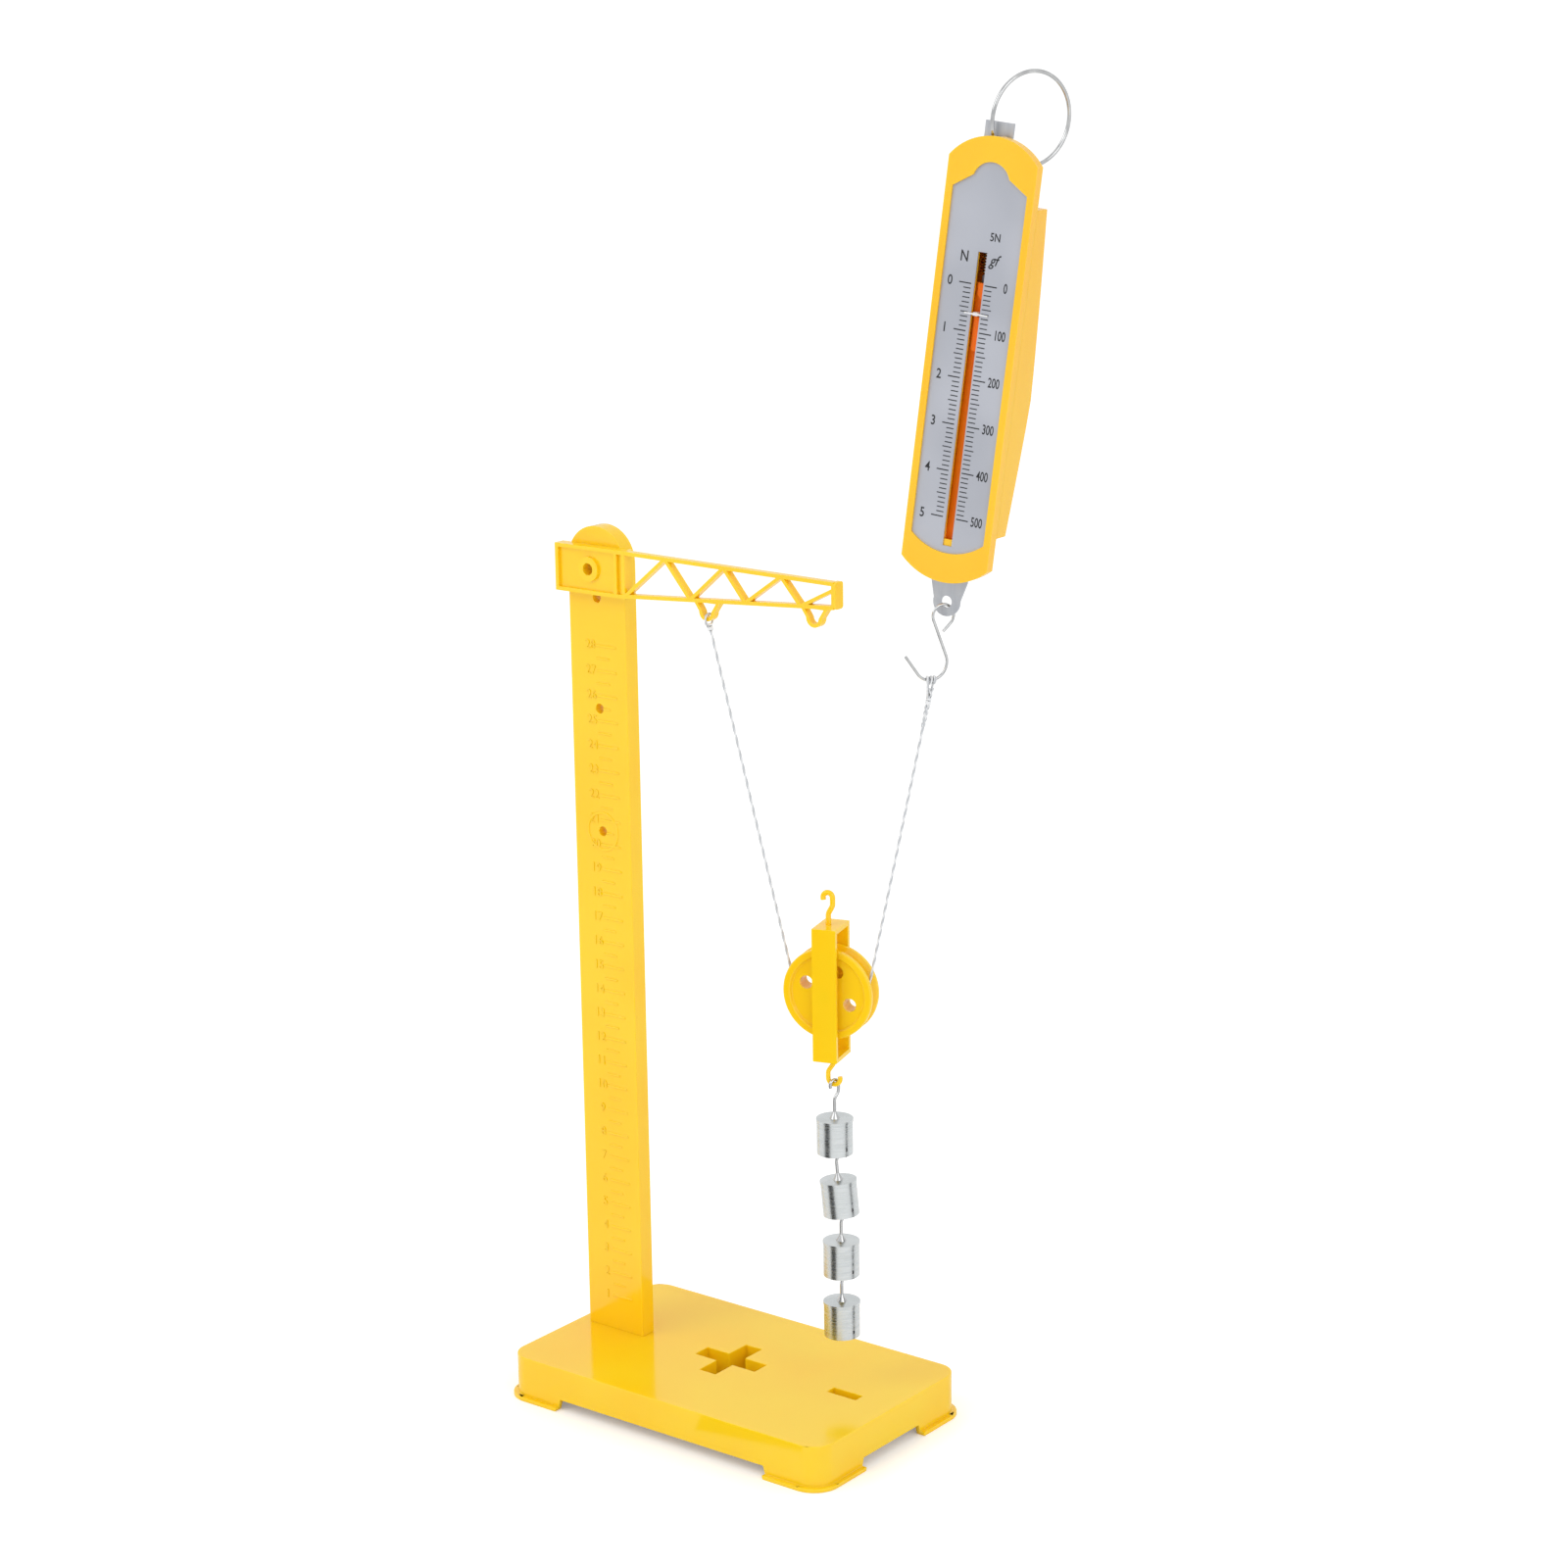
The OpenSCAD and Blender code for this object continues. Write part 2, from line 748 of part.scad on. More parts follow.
module drawbar() color(steel) at_balance() difference() {
    slab(-bar_t / 2, bar_t) {
        circle(tab_r);
        polygon([
            [-tab_w / 2, tab_top],
            [-tab_w / 2, case_bottom],
            [-tab_r * cos(10), tab_r * sin(10)],
            [tab_r * cos(10), tab_r * sin(10)],
            [tab_w / 2, case_bottom],
            [tab_w / 2, tab_top]
        ]);
        translate([-neck_w / 2, tab_top - 1]) square([neck_w, neck_top - tab_top + 1]);
    }
    translate([0, bar_t, 0]) rotate([90, 0, 0]) cylinder(r = hole_tab_r, h = 2 * bar_t);
    translate([0, bar_t, neck_top - 1.4]) rotate([90, 0, 0]) cylinder(r = 0.6, h = 2 * bar_t);
}

// The long bar that shows through the slot. Two pads hold it on the drawbar's neck, and
// two raised blocks on its right half leave a gap for the pointer
module pointer_carrier() color("darkorange") at_balance() {
    translate([-bar_half, bar_front, bar_low]) cube([2 * bar_half, bar_back - bar_front, bar_high - bar_low]);
    slab(block_front, bar_front - block_front + eps) {
        difference() {
            translate([block_left, block_low]) square([bar_half - block_left, block_gap_low - block_low]);
            translate([block_left, block_low]) square(block_r);
        }
        translate([block_left + block_r, block_low + block_r]) circle(block_r);
        polygon([
            [block_left, bar_high],
            [block_left, block_gap_high + 1.6],
            [block_left + 1.6, block_gap_high],
            [bar_half, block_gap_high],
            [bar_half, bar_high]
        ]);
    }
    for (z = [bar_low + 2, pointer_z - 3])
        translate([-pad_half, bar_back - eps, z]) cube([2 * pad_half, -bar_t / 2 - bar_back + eps, 6]);
}

module pointer() color(white) at_balance() {
    translate([-4.2, -6.4, pointer_z - 0.3]) cube([9.2, 0.4, 0.6]);
    translate([-0.9, -6.0 - eps, pointer_z - 0.6]) cube([1.8, bar_front + 6 + eps, 1.2]);
}

// Extension spring between the anchor of the top tab and the drawbar
spring_pitch = (spring_high - spring_low) / spring_turns;
echo("spring gap", spring_pitch - spring_wire);

module spring() color(steel) at_balance() translate([0, spring_y, 0]) {
    steps = 8 * spring_turns;
    coil = [
        for (i = [0:steps])
            let (a = 360 * i / 8)
                [spring_coil_r * cos(a), spring_coil_r * sin(a), spring_low + spring_pitch * i / 8]
    ];
    first = coil[0] + [0, -spring_wire, 0];
    last = coil[steps] + [0, spring_wire, 0];
    tube(concat([first], coil, [last]), spring_wire / 2, 6, [0, 0, 1]);
}

module case_outline() {
    intersection() {
        translate([-case_w / 2, case_bottom]) square([case_w, case_top - case_bottom]);
        arc_cut(case_w / 2, high_shoulder, case_top - high_shoulder, 1);
        arc_cut(case_w / 2, low_shoulder, low_shoulder - case_bottom, -1);
    }
}

// A disc whose edge passes through both shoulders and bulges past them by rise
module arc_cut(half, shoulder, rise, side) {
    r = (half * half + rise * rise) / (2 * rise);
    far = 400;
    translate([0, shoulder + side * (rise - r)]) circle(r, $fn = 96);
    translate([-far / 2, side > 0 ? shoulder - far : shoulder]) square([far, far]);
}

module plate_outline() {
    intersection() {
        translate([-plate_half, plate_bottom]) square([2 * plate_half, plate_high - plate_bottom]);
        arc_cut(plate_half, plate_low, plate_low - plate_bottom, -1);
    }
    polygon([
        [-plate_half, plate_high - eps],
        [plate_half, plate_high - eps],
        [notch_x, notch_z],
        [-notch_x, notch_z]
    ]);
    translate([0, arch_z]) circle(arch_r);
}

module slot_outline(low) {
    translate([-slot_w / 2, low]) square([slot_w, slot_top - low]);
}

module screw_holes(r, y, h) {
    for (p = screw_places)
        translate([p[0], y, p[1]]) rotate([-90, 0, 0]) cylinder(r = r, h = h);
}

module case_front() color(yellow) at_balance() difference() {
    slab(face_y, thin_y - face_y) case_outline();
    slab(face_y - 1, plate_y + plate_t - face_y + 1) plate_outline();
    slab(face_y, 4) slot_outline(shell_slot_bottom);
    translate([-13.5, -4, cover_bottom + 3]) cube([27, 3, cover_top - cover_bottom - 6]);
    translate([-groove_half, -4.3, case_bottom - 1]) cube([2 * groove_half, 3, slot_top + 4 - case_bottom]);
    translate([-6.5, -4.4, 162]) cube([7.5, 3, 10]);
    translate([-7, -4.4, case_bottom - 1]) cube([13, 3, 6]);
    screw_holes(screw_r, thin_y - 2, 3);
}

// Side view of the rear cover: straight flanks that meet in a belly
function cover_y(z) = z > belly_z
    ? belly_y - (belly_y - cover_top_y) * pow((z - belly_z) / (cover_top - belly_z), 1.25)
    : belly_y - (belly_y - cover_low_y) * pow((belly_z - z) / (belly_z - cover_bottom), 1.15);

module cover_side(inset) {
    steps = 12;
    low = cover_bottom + inset;
    high = cover_top - inset;
    outer = [
        for (i = [0:steps])
            let (z = low + (high - low) * i / steps)
                [cover_y(z) - inset, z]
    ];
    polygon(concat([[thin_y, low]], outer, [[thin_y, high]]));
}

module cover_slab(half, inset) {
    rotate([90, 0, 90]) linear_extrude(2 * half, center = true) cover_side(inset);
}

module case_back() color(yellow) at_balance() {
    difference() {
        cover_slab(case_w / 2, 0);
        difference() {
            translate([0, -eps, 0]) cover_slab(case_w / 2 - cover_wall, cover_wall);
            for (p = screw_places)
                translate([p[0], thin_y, p[1]]) rotate([-90, 0, 0]) cylinder(r = 3.2, h = 20);
        }
        translate([-groove_half, thin_y - 1, cover_bottom - 1])
            cube([2 * groove_half, 0.9 - thin_y + 1, cover_wall + 2]);
        translate([top_tab_x - top_tab_w / 2, -bar_t / 2, cover_top - cover_wall - 1])
            cube([top_tab_w, bar_t, cover_wall + 2]);
        screw_holes(screw_r, thin_y - 1, 30);
        for (p = screw_places)
            translate([p[0], cover_y(p[1]) - 2.4, p[1]]) rotate([-90, 0, 0]) cylinder(r = screw_head_r, h = 6);
    }
}

module case_screws() color(steel) at_balance()
    for (p = screw_places) {
        seat = cover_y(p[1]) - 2.4;
        translate([p[0], thin_y - 2, p[1]]) rotate([-90, 0, 0]) cylinder(r = screw_r, h = seat - thin_y + 2);
        translate([p[0], seat, p[1]]) rotate([-90, 0, 0]) difference() {
            cylinder(r = screw_head_r, h = 1.1);
            translate([0, 0, 0.5]) linear_extrude(1) plus_outline(2.4, 0.5);
        }
    }

module scale_plate() color("lightgray") at_balance() difference() {
    slab(plate_y, plate_t) plate_outline();
    slab(plate_y - 1, 3) slot_outline(slot_bottom);
}

module top_tab() color(steel) at_balance() difference() {
    slab(-bar_t / 2, bar_t) {
        translate([top_tab_x - top_tab_w / 2, cover_top - 6]) square([top_tab_w, top_tab_high - cover_top + 6]);
        translate([-anchor_w / 2, top_tab_low]) square([anchor_w, cover_top - top_tab_low]);
    }
    translate([ring_hole[0], bar_t, ring_hole[2]]) rotate([90, 0, 0]) cylinder(r = ring_hole_r, h = 2 * bar_t);
    translate([0, bar_t, top_tab_low + 1.4]) rotate([90, 0, 0]) cylinder(r = 0.6, h = 2 * bar_t);
}

module hanging_ring() color(steel) at_balance()
    translate(ring_hole)
    rotate([0, 0, ring_plane])
    translate(-ring_big_r * [cos(ring_place), 0, sin(ring_place)])
    rotate([90, 0, 0])
    rotate_extrude($fn = 96)
    translate([ring_big_r, 0])
    circle(ring_wire_r);

base();
column();
jib();
sheave();
pulley_yoke();
pulley_axle();
weight_body(1);  // weight_1
weight_body(2);  // weight_2
weight_body(3);  // weight_3
weight_body(4);  // weight_4
weight_hook(1);  // weight_hook_1
weight_hook(2);  // weight_hook_2
weight_hook(3);  // weight_hook_3
weight_hook(4);  // weight_hook_4
weight_pin(1);  // weight_pin_1
weight_pin(2);  // weight_pin_2
weight_pin(3);  // weight_pin_3
weight_pin(4);  // weight_pin_4
string_left();
string_wrap();
string_right();
string_tie();
string_loop();
s_hook();
drawbar();
pointer_carrier();
pointer();
spring();
case_front();
case_back();
case_screws();
scale_plate();
top_tab();
hanging_ring();
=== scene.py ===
# %% [markdown]
# # Pulley demonstrator
# A yellow plastic stand with a truss jib. A white string runs from the jib, round a moving
# pulley and up to a flat spring balance, and four hooked steel weights hang from the pulley.
# The CAD model gives every rigid piece its true shape and place. This lesson loads it, dresses
# each piece in a material made of nodes, and models what CAD leaves plain: the twisted string,
# its knots, the moulded numbers and the printed scale.

# %% Load the CAD model
import json
import math

import bmesh
import bpy
from mathutils import Matrix, Vector


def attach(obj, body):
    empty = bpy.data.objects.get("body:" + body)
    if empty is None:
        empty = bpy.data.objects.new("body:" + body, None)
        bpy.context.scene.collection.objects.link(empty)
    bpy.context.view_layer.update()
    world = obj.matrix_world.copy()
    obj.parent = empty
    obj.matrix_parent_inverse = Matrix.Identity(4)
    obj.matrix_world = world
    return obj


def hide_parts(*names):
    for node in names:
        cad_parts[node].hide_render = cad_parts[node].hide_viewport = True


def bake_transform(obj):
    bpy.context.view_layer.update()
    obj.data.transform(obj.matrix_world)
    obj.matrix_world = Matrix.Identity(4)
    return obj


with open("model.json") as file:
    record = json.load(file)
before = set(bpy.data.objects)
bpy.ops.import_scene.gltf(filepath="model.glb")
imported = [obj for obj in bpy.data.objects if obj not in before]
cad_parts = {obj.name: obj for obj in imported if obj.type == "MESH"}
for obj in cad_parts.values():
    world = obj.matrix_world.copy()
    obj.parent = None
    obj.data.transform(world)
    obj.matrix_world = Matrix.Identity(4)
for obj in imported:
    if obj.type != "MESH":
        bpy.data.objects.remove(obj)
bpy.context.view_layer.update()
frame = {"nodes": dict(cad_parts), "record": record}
MM = 0.001
UP = Vector((0, 0, 1))

# %% [markdown]
# ## The camera
# The photograph was taken from the front right, a little above the stand, with a long lens
# and a slight roll. A camera's own axes are right, up and back. Three angles give them, and
# the matrix is built from them as columns. An aimed camera would need a target and a
# constraint, and it would lose the roll.

# %% Set up the camera
AZIMUTH = math.radians(37.74)
ELEVATION = math.radians(14.44)
ROLL = -0.0138
CAMERA_AT = Vector((0.8214, -1.0227, 0.5926))

back = Vector((
    math.sin(AZIMUTH) * math.cos(ELEVATION),
    -math.cos(AZIMUTH) * math.cos(ELEVATION),
    math.sin(ELEVATION),
))
level_right = Vector((math.cos(AZIMUTH), math.sin(AZIMUTH), 0))
level_up = back.cross(level_right)
right = math.cos(ROLL) * level_right + math.sin(ROLL) * level_up
up = -math.sin(ROLL) * level_right + math.cos(ROLL) * level_up

lens = bpy.data.cameras.new("camera")
lens.lens = 81.5
lens.sensor_width = 36
lens.clip_end = 100
camera = bpy.data.objects.new("camera", lens)
turn = Matrix((right, up, back)).transposed().to_4x4()
camera.matrix_world = Matrix.Translation(CAMERA_AT) @ turn
bpy.context.scene.collection.objects.link(camera)
bpy.context.scene.camera = camera
bpy.context.scene.view_settings.view_transform = "Standard"
print("camera at", [round(x, 3) for x in CAMERA_AT])

# %% [markdown]
# ## A material helper
# Every finish below is a few shader nodes. One function adds a node, gives it its settings
# and input values, and links whatever is handed to it as a socket. Colours are written as
# sRGB hex, as a colour picker shows them, and one function turns them to the linear values
# that the shader works in.

# %% Define the helpers for materials
def colour(hex_text):
    channels = [int(hex_text[i:i + 2], 16) / 255 for i in (1, 3, 5)]
    linear = [c / 12.92 if c <= 0.04045 else ((c + 0.055) / 1.055) ** 2.4 for c in channels]
    return (*linear, 1.0)


def add(tree, kind, inputs=None, **settings):
    node = tree.nodes.new(kind)
    for name, value in settings.items():
        setattr(node, name, value)
    for name, value in (inputs or {}).items():
        if isinstance(value, bpy.types.NodeSocket):
            tree.links.new(value, node.inputs[name])
        else:
            node.inputs[name].default_value = value
    return node


def new_material(name):
    material = bpy.data.materials.new(name)
    material.use_nodes = True
    material.node_tree.nodes.clear()
    return material, material.node_tree


def finish_with(tree, shader):
    add(tree, "ShaderNodeOutputMaterial", {"Surface": shader.outputs[0]})


def object_noise(tree, size_mm, detail, stretch=(1, 1, 1)):
    place = add(tree, "ShaderNodeTexCoord").outputs["Object"]
    mapping = add(tree, "ShaderNodeMapping", {"Vector": place, "Scale": stretch})
    scale = 1 / (size_mm * MM)
    return add(tree, "ShaderNodeTexNoise",
               {"Vector": mapping.outputs[0], "Scale": scale, "Detail": detail})


def tint(tree, noise, low, high):
    ramp = add(tree, "ShaderNodeValToRGB", {"Fac": noise.outputs["Fac"]})
    stops = ramp.color_ramp.elements
    for stop, position, shade in zip(stops, (0.35, 0.65), (low, high)):
        stop.position = position
        stop.color = colour(shade)
    return ramp.outputs["Color"]


# %% [markdown]
# ## Moulded plastic
# The stand, the pulley and the balance's case are injection moulded in yellow polystyrene
# or ABS. The mould is polished, so the surface is glossy with a faint ripple left by
# shrinkage, and the colour is even, with a slight drift where the flow front cooled. The low
# roughness lets the deck mirror the column, as the real one does. The ripple is 9 mm wide, as
# on real mouldings, and only a few hundredths of a millimetre deep. A quarter of the light
# soaks about 3 mm into the plastic before it comes out again, red the furthest, which softens
# thin ribs. The case is a deeper yellow and less glossy. The orange and white pieces are
# nylon, which is duller, and the orange mirrors less, so that its colour stays strong.

# %% Make the yellow plastic
def moulded_plastic(name, low, high, roughness=0.13, specular=0.5):
    material, tree = new_material(name)
    drift = object_noise(tree, 45, 1.0)
    ripple = object_noise(tree, 9, 1.5)
    grain = object_noise(tree, 0.6, 2.0)
    bump = add(tree, "ShaderNodeBump",
               {"Height": ripple.outputs["Fac"], "Strength": 0.1, "Distance": 0.0002})
    fine = add(tree, "ShaderNodeBump",
               {"Height": grain.outputs["Fac"], "Strength": 0.05, "Distance": 0.00003,
                "Normal": bump.outputs[0]})
    shader = add(tree, "ShaderNodeBsdfPrincipled", {
        "Base Color": tint(tree, drift, low, high),
        "Roughness": roughness,
        "IOR": 1.54,
        "Specular IOR Level": specular,
        "Subsurface Weight": 0.25,
        "Subsurface Radius": (1.0, 0.8, 0.3),
        "Subsurface Scale": 0.003,
        "Normal": fine.outputs[0],
    })
    finish_with(tree, shader)
    return material


yellow_plastic = moulded_plastic("yellow moulded ABS", "#FFCC0E", "#FFD218")
case_plastic = moulded_plastic("yellow moulded ABS of the balance", "#FFBF14", "#FFC51C", 0.25)
orange_plastic = moulded_plastic("orange moulded nylon", "#F97200", "#FF8000", 0.35, 0.25)
white_plastic = moulded_plastic("white moulded nylon", "#E9E9E6", "#F4F4F2", 0.35)
print("plastics:", yellow_plastic.name, orange_plastic.name)

# %% [markdown]
# ## Metals
# The ring, the S hook and the flat bars are steel with bright nickel on them. The weights are
# turned steel with a zinc coat: duller, with the fine rings that the lathe leaves. Metal
# shows almost nothing but reflections, so its base colour is pale, its metallic value is 1,
# and the rings live in the colour and the roughness. They are drawn round the piece by
# scaling the texture space down along X and Y. The flat bars are rolled along their length,
# so their texture space is scaled down along Z. Wear, 1.6 mm wide, dents all of them a little.

# %% Make the metals
def plated_steel(name, low, high, roughness, streak_mm, stretch, bump_depth):
    material, tree = new_material(name)
    streaks = object_noise(tree, streak_mm, 3.0, stretch)
    wear = object_noise(tree, 1.6, 3.0)
    rough = add(tree, "ShaderNodeMapRange", {
        "Value": streaks.outputs["Fac"],
        "From Min": 0.3,
        "From Max": 0.7,
        "To Min": roughness * 0.8,
        "To Max": roughness * 1.3,
    })
    bump = add(tree, "ShaderNodeBump",
               {"Height": wear.outputs["Fac"], "Strength": 0.2, "Distance": bump_depth})
    shader = add(tree, "ShaderNodeBsdfPrincipled", {
        "Base Color": tint(tree, streaks, low, high),
        "Metallic": 1.0,
        "Roughness": rough.outputs[0],
        "Normal": bump.outputs[0],
    })
    finish_with(tree, shader)
    return material


LATHE_RINGS = (0.06, 0.06, 1)
NO_GRAIN = (1, 1, 1)
ROLLED = (1, 1, 0.2)
zinc = plated_steel("zinc plated turned steel", "#CDD2D3", "#DEE2E3",
                    roughness=0.27, streak_mm=0.6, stretch=LATHE_RINGS, bump_depth=0.000004)
nickel = plated_steel("bright nickel plated wire", "#BBBCBD", "#D2D3D3",
                      roughness=0.14, streak_mm=4, stretch=NO_GRAIN, bump_depth=0.000005)
strip = plated_steel("nickel plated strip", "#B9BCC2", "#C6C9CE",
                     roughness=0.4, streak_mm=2.5, stretch=ROLLED, bump_depth=0.00001)
print("metals:", zinc.name, nickel.name, strip.name)

# %% [markdown]
# ## Paint and ink
# The scale plate is a thin sheet sprayed with silver paint. Tiny flakes scatter the light, so
# it looks grey and soft, with a fine sparkle. A metallic value of 0.25 with a high roughness
# gives that.
# The marks are screen printed in black ink, which is thicker than paint and slightly glossy.

# %% Make the paint and the ink
def silver_paint():
    material, tree = new_material("silver sprayed plate")
    flakes = object_noise(tree, 0.5, 4.0)
    cloud = object_noise(tree, 30, 1.0)
    bump = add(tree, "ShaderNodeBump",
               {"Height": flakes.outputs["Fac"], "Strength": 0.15, "Distance": 0.00002})
    shader = add(tree, "ShaderNodeBsdfPrincipled", {
        "Base Color": tint(tree, cloud, "#ADB0B9", "#B8BBC4"),
        "Metallic": 0.25,
        "Roughness": 0.5,
        "Normal": bump.outputs[0],
    })
    finish_with(tree, shader)
    return material


def printing_ink():
    material, tree = new_material("black screen printing ink")
    patchy = object_noise(tree, 0.4, 2.0)
    shader = add(tree, "ShaderNodeBsdfPrincipled", {
        "Base Color": tint(tree, patchy, "#17181B", "#24262A"),
        "Roughness": 0.45,
        "IOR": 1.5,
    })
    finish_with(tree, shader)
    return material


plate_paint = silver_paint()
ink = printing_ink()
print("paint and ink:", plate_paint.name, ink.name)

# %% [markdown]
# ## Cotton string
# The string is white cotton, laid up from two strands. Real fibres are 0.02 mm, far too
# fine to show, so the fuzz is drawn at 0.25 mm. Sheen gives the pale edge that loose fibres
# have against the light. The groove between the strands is painted darker in the colour, as
# painted shade for the light that is lost in it. The mesh carries how deep in the groove each
# point is, as an attribute, and that depth sets how much painted shade the colour gets.

# %% Make the string's material
def cotton():
    material, tree = new_material("twisted white cotton")
    fibres = object_noise(tree, 0.25, 3.0)
    bump = add(tree, "ShaderNodeBump",
               {"Height": fibres.outputs["Fac"], "Strength": 0.6, "Distance": 0.00008})
    # Painted shade: the groove value mixes the darker colour B into the string where the
    # strands meet.
    groove = add(tree, "ShaderNodeAttribute", attribute_name="groove")
    shade = add(tree, "ShaderNodeMix", {
        "Factor": groove.outputs["Fac"],
        "A": tint(tree, fibres, "#E2E4E6", "#F5F6F7"),
        "B": tint(tree, fibres, "#B0B3B8", "#C2C5C9"),
    }, data_type="RGBA")
    shader = add(tree, "ShaderNodeBsdfPrincipled", {
        "Base Color": shade.outputs[2],
        "Roughness": 0.9,
        "IOR": 1.5,
        "Sheen Weight": 0.3,
        "Sheen Roughness": 0.5,
        "Normal": bump.outputs[0],
    })
    finish_with(tree, shader)
    return material


cotton_string = cotton()
print("string:", cotton_string.name)

# %% [markdown]
# ## The string
# One string hangs in an upright plane that starts at the jib's eye and turns 16 degrees away
# from the column. It comes down to the sheave, runs round the bottom of its groove and goes
# up to the steel hook. Here it is three pieces: the left leg between the stand and the pulley,
# the wrap, which rides on the pulley, and the right leg between the pulley and the hook. The
# route repeats the CAD model's numbers.

# %% Lay out the string's route
PLANE = math.radians(16)
ALONG = Vector((math.cos(PLANE), math.sin(PLANE), 0))
ACROSS = Vector((-math.sin(PLANE), math.cos(PLANE), 0))
STRING_R = 0.6 * MM
WRAP_R = 14.3 * MM
EYE_DROP = 2.6 * MM
HOOK_DROP = 3.2 * MM
DOUBLED = 15 * MM
EYE = Vector((0, -6, 321.25)) * MM
SHEAVE = Vector((0, -6, 179)) * MM + 47.5 * MM * ALONG
HOOK = Vector((0, -6, 303.2)) * MM + 88.1 * MM * ALONG


def in_plane(x, z):
    return SHEAVE + x * ALONG + z * UP


def leaving_angle(point, side):
    offset = point - SHEAVE
    x, z = offset.dot(ALONG), offset.z
    return math.atan2(z, x) + side * math.acos(WRAP_R / math.hypot(x, z))


def on_groove(angle):
    return in_plane(WRAP_R * math.cos(angle), WRAP_R * math.sin(angle))


tie_top = EYE - EYE_DROP * UP
hook_top = HOOK - HOOK_DROP * UP
left_angle = leaving_angle(tie_top, 1)
right_angle = leaving_angle(hook_top, -1)
left_leave = on_groove(left_angle)
right_leave = on_groove(right_angle)
left_down = (left_leave - tie_top).normalized()
right_down = (right_leave - hook_top).normalized()
left_top = tie_top + EYE_DROP * left_down
right_top = hook_top + DOUBLED * right_down
print("left leg", round((left_top - left_leave).length * 1000, 1), "mm, right leg",
      round((right_top - right_leave).length * 1000, 1), "mm")

# %% [markdown]
# ## Twisted string
# A twisted string's outline is two round strands side by side, which wind round as it goes.
# One lobed ring is extruded along the route, and each step also turns it a little. Extruding
# edges with operators keeps the tube closed and gives even quads, where a curve with a bevel
# could not carry the twist into the mesh.

# %% Define a twisted string
LAY = 11 * MM
STEP = 0.3 * MM
SIDES = 12
GROOVE_DEPTH = 0.35


def line(a, b):
    count = max(2, round((b - a).length / STEP))
    return [a.lerp(b, i / count) for i in range(count + 1)]


def placed(path, i, side, twist):
    ahead = path[min(i + 1, len(path) - 1)] - path[max(i - 1, 0)]
    tangent = ahead.normalized()
    across = (side - side.dot(tangent) * tangent).normalized()
    turn = Matrix((across, tangent.cross(across), tangent)).transposed().to_4x4()
    return Matrix.Translation(path[i]) @ turn @ Matrix.Rotation(twist, 4, "Z")


def twisted(bm, path, radius, side):
    groove = bm.verts.layers.float.get("groove") or bm.verts.layers.float.new("groove")
    ring = bmesh.ops.create_circle(bm, segments=SIDES, radius=radius)["verts"]
    for i, vert in enumerate(ring):
        depth = 0.5 - 0.5 * math.cos(2 * math.tau * i / SIDES)
        vert.co *= 1 - GROOVE_DEPTH * depth
        # The same depth sets the painted shade in the groove between the strands.
        vert[groove] = depth
    edges = list({edge for vert in ring for edge in vert.link_edges})
    bmesh.ops.transform(bm, matrix=placed(path, 0, side, 0), verts=ring)
    start = list(edges)
    run = 0
    for i in range(1, len(path)):
        before = placed(path, i - 1, side, math.tau * run / LAY)
        run += (path[i] - path[i - 1]).length
        after = placed(path, i, side, math.tau * run / LAY)
        grown = bmesh.ops.extrude_edge_only(bm, edges=edges)["geom"]
        edges = [g for g in grown if isinstance(g, bmesh.types.BMEdge)]
        verts = [g for g in grown if isinstance(g, bmesh.types.BMVert)]
        bmesh.ops.transform(bm, matrix=after @ before.inverted(), verts=verts)
    for rim in (start, edges):
        bmesh.ops.contextual_create(bm, geom=rim)


def make_piece(name, bm, material, smooth=True):
    bmesh.ops.recalc_face_normals(bm, faces=bm.faces)
    mesh = bpy.data.meshes.new(name)
    bm.to_mesh(mesh)
    bm.free()
    for face in mesh.polygons:
        face.use_smooth = smooth
    mesh.materials.append(material)
    piece = bpy.data.objects.new(name, mesh)
    bpy.context.scene.collection.objects.link(piece)
    return piece


# %% Make the three runs of string
ARC_STEPS = 130
sweep = right_angle + math.tau - left_angle
paths = {
    "left": line(left_top, left_leave),
    "wrap": [on_groove(left_angle + sweep * i / ARC_STEPS) for i in range(ARC_STEPS + 1)],
    "right": line(right_leave, right_top),
}
strings = {}
for name, path in paths.items():
    bm = bmesh.new()
    twisted(bm, path, STRING_R, ACROSS)
    strings[name] = make_piece(f"string_{name}_run", bm, cotton_string)
    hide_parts(f"string_{name}")
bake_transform(strings["left"])
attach(strings["wrap"], "pulley_block")
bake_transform(strings["right"])
print("string pieces:", [piece.name for piece in strings.values()])

# %% [markdown]
# ## The knots
# At the jib the string goes over the bar of the eye and is tied below it. At the steel hook it
# goes two and a half times round the wire, both sides meet 5 mm below and are tied there, and
# the doubled string is twisted for 15 mm. Each knot is a few turns wound round the string: a
# closed ring that is spun from a circle and set at a slight slant, three times.

# %% Define a knot
KNOT_TURNS = 3
KNOT_PITCH = 0.85 * MM
KNOT_STRAND_R = 0.45 * MM
KNOT_SLANT = 0.35
ON_EDGE = Matrix.Rotation(math.pi / 2, 3, "X")


